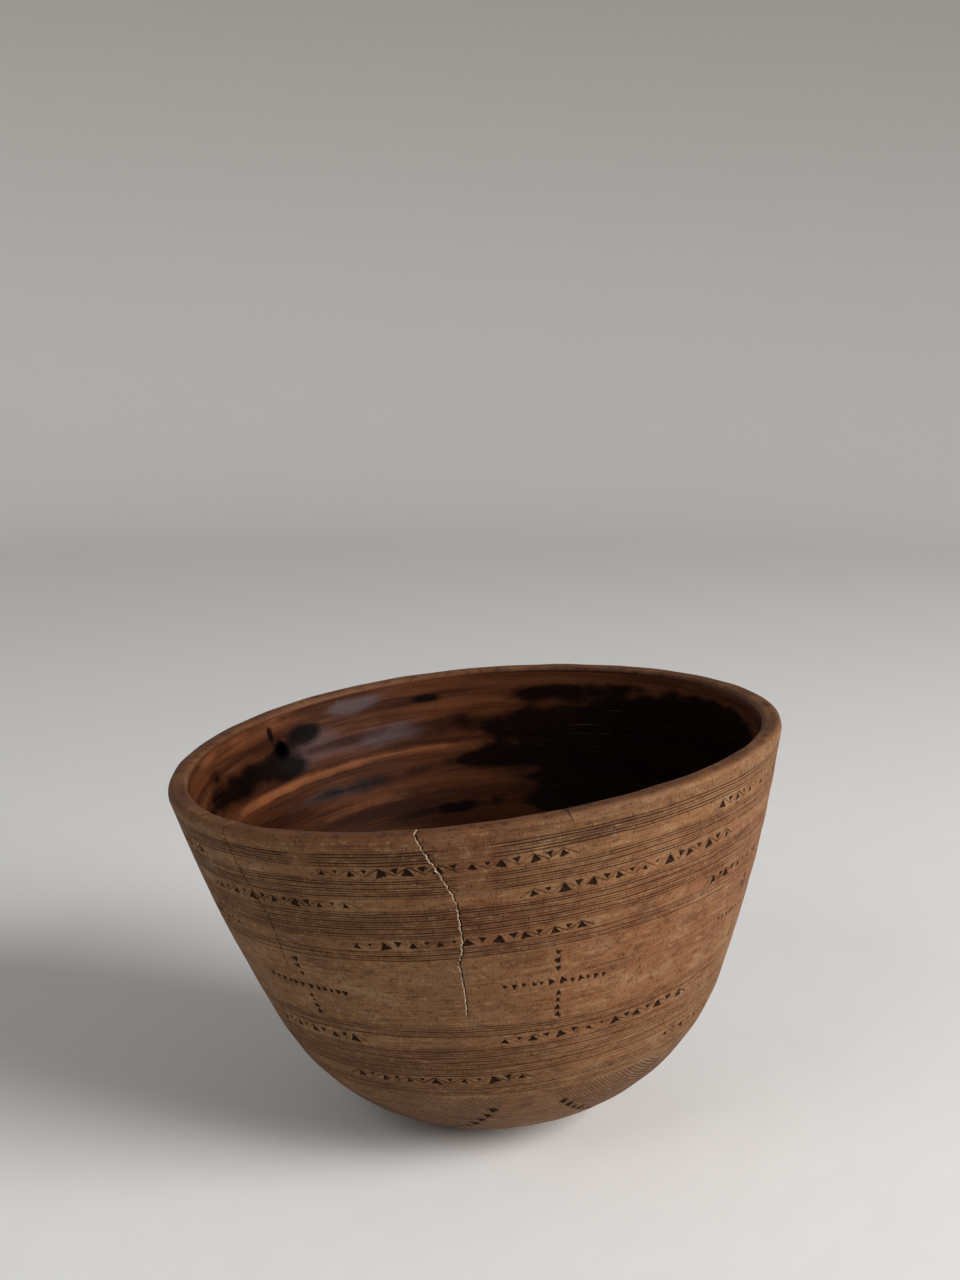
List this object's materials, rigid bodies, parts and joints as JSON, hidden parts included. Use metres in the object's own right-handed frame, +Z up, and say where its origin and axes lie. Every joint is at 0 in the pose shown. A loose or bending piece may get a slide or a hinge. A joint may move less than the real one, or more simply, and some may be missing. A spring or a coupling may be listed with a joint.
{
  "type": "bowl",
  "caption": "Round-bottomed carved wooden bowl with flaring walls, bands of carved grooves, a glued crack through the wall and a small hanging hole under the rim.",
  "frame": {"origin": "centre of the small worn flat under the bowl, on the ground it stands on", "axes": "+Z straight up from the ground, out of the bowl's mouth; +Y away from the face that carries the glued crack; the bowl's own axis leans 6.1 degrees from +Z, towards -X"},
  "size_m": [0.2989, 0.3004, 0.2039],
  "materials": {
    "carved_wood": "worn, oiled by use",
    "dried_glue": "matt"
  },
  "bodies": {
    "root": {"bowl": "carved_wood", "crack_filler": "dried_glue"}
  },
  "joints": []
}
